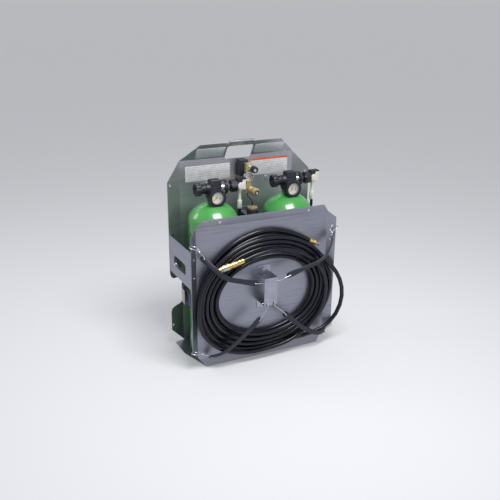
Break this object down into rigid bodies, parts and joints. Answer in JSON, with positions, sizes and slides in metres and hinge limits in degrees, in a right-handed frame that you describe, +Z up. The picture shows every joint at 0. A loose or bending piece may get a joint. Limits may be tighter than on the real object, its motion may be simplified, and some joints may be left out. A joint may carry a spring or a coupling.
{
  "type": "air pack",
  "caption": "Portable breathing air pack: folded aluminium frame holding green air cylinders with valves and gauges, a regulator with outlets, and a coiled hose strapped to the front.",
  "frame": {"origin": "on the floor, under the middle of the base plate", "axes": "+Z up, +Y from the front panel to the rear panel, +X to the right seen from the front"},
  "size_m": [0.5875, 0.2921, 0.7399],
  "materials": {
    "sheet_aluminium": "satin mill finish",
    "bright_fastener": "bright zinc plate",
    "green_paint": "gloss",
    "black_moulding": "satin",
    "chrome_plate": "polished",
    "dial_card": "matte",
    "gauge_glass": "clear",
    "needle_black": "matte",
    "brass": "bright",
    "black_hose": "soft sheen",
    "navy_webbing": "woven",
    "buckle_steel": "bright",
    "strap_rubber": "matte",
    "hook_wire": "bright zinc plate"
  },
  "bodies": {
    "pack": {"rear_panel": "sheet_aluminium", "front_panel": "sheet_aluminium", "base_plate": "sheet_aluminium", "left_side_panel": "sheet_aluminium", "right_side_panel": "sheet_aluminium", "handle_grip": "sheet_aluminium", "hose_bracket": "sheet_aluminium", "frame_rivets": "bright_fastener", "panel_bolts": "bright_fastener", "harness_eyelets": "bright_fastener", "left_cylinder": "green_paint", "right_cylinder": "green_paint", "left_valve_body": "black_moulding", "right_valve_body": "black_moulding", "left_valve_outlet": "chrome_plate", "right_valve_outlet": "chrome_plate", "left_gauge_case": "black_moulding", "right_gauge_case": "black_moulding", "gauge_dials": "dial_card", "gauge_lenses": "gauge_glass", "left_hose_elbow": "chrome_plate", "right_hose_elbow": "chrome_plate", "left_pressure_hose": "black_hose", "right_pressure_hose": "black_hose", "reducer_body": "black_moulding", "reducer_cap": "brass", "reducer_bracket": "bright_fastener", "manifold_block": "brass", "alarm_housing": "black_moulding", "upper_outlet_socket": "chrome_plate", "lower_outlet_socket": "brass", "manifold_gauge_case": "chrome_plate", "supply_tube": "chrome_plate", "left_cylinder_strap": "navy_webbing", "right_cylinder_strap": "navy_webbing", "left_buckle_frame": "buckle_steel", "right_buckle_frame": "buckle_steel", "buckle_pins": "bright_fastener", "hose_coil": "black_hose", "hose_plug": "brass", "hose_coupler": "brass", "upper_left_strap": "strap_rubber", "upper_right_strap": "strap_rubber", "lower_left_strap": "strap_rubber", "lower_right_strap": "strap_rubber", "corner_hooks": "hook_wire", "bracket_hooks": "hook_wire"},
    "left_knob": {"left_valve_knob": "black_moulding"},
    "right_knob": {"right_valve_knob": "black_moulding"},
    "left_nut": {"left_coupling_nut": "black_moulding"},
    "right_nut": {"right_coupling_nut": "black_moulding"},
    "left_needle": {"left_gauge_needle": "needle_black"},
    "right_needle": {"right_gauge_needle": "needle_black"},
    "small_needle": {"manifold_gauge_needle": "needle_black"},
    "upper_sleeve": {"upper_outlet_sleeve": "black_moulding"},
    "lower_sleeve": {"lower_outlet_sleeve": "brass"},
    "coupler_sleeve": {"hose_coupler_sleeve": "brass"},
    "left_lever": {"left_buckle_lever": "buckle_steel"},
    "right_lever": {"right_buckle_lever": "buckle_steel"}
  },
  "joints": [
    {"name": "left_knob_turn", "type": "hinge", "parent": "pack", "child": "left_knob", "pos_m": [-0.193, -0.009, 0.602], "axis": [-1, 0, 0], "range_deg": [0, 900]},
    {"name": "right_knob_turn", "type": "hinge", "parent": "pack", "child": "right_knob", "pos_m": [0.093, -0.009, 0.602], "axis": [-1, 0, 0], "range_deg": [0, 900]},
    {"name": "left_nut_turn", "type": "hinge", "parent": "pack", "child": "left_nut", "pos_m": [-0.068, -0.009, 0.602], "axis": [1, 0, 0], "range_deg": [0, 1440]},
    {"name": "right_nut_turn", "type": "hinge", "parent": "pack", "child": "right_nut", "pos_m": [0.218, -0.009, 0.602], "axis": [1, 0, 0], "range_deg": [0, 1440]},
    {"name": "left_needle_swing", "type": "hinge", "parent": "pack", "child": "left_needle", "pos_m": [-0.143, -0.0402, 0.577], "axis": [0, 1, 0], "range_deg": [0, 270], "stiffness_Nm_per_rad": 0.00002},
    {"name": "right_needle_swing", "type": "hinge", "parent": "pack", "child": "right_needle", "pos_m": [0.143, -0.0402, 0.577], "axis": [0, 1, 0], "range_deg": [0, 270], "stiffness_Nm_per_rad": 0.00002},
    {"name": "small_needle_swing", "type": "hinge", "parent": "pack", "child": "small_needle", "pos_m": [0.009, 0.0348, 0.616], "axis": [0, 1, 0], "range_deg": [0, 270], "stiffness_Nm_per_rad": 0.00002},
    {"name": "upper_sleeve_slide", "type": "slide", "parent": "pack", "child": "upper_sleeve", "axis": [0, 1, 0], "range_m": [0, 0.005], "stiffness_N_per_m": 600, "springref_m": -0.003},
    {"name": "lower_sleeve_slide", "type": "slide", "parent": "pack", "child": "lower_sleeve", "axis": [0, 1, 0], "range_m": [0, 0.005], "stiffness_N_per_m": 600, "springref_m": -0.003},
    {"name": "coupler_sleeve_slide", "type": "slide", "parent": "pack", "child": "coupler_sleeve", "axis": [0.9724, 0, 0.2334], "range_m": [0, 0.005], "stiffness_N_per_m": 600, "springref_m": -0.003},
    {"name": "left_lever_open", "type": "hinge", "parent": "pack", "child": "left_lever", "pos_m": [-0.23174, 0.061, 0.205], "axis": [0, 0, -1], "range_deg": [0, 100]},
    {"name": "right_lever_open", "type": "hinge", "parent": "pack", "child": "right_lever", "pos_m": [0.23174, 0.061, 0.205], "axis": [0, 0, 1], "range_deg": [0, 100]}
  ]
}
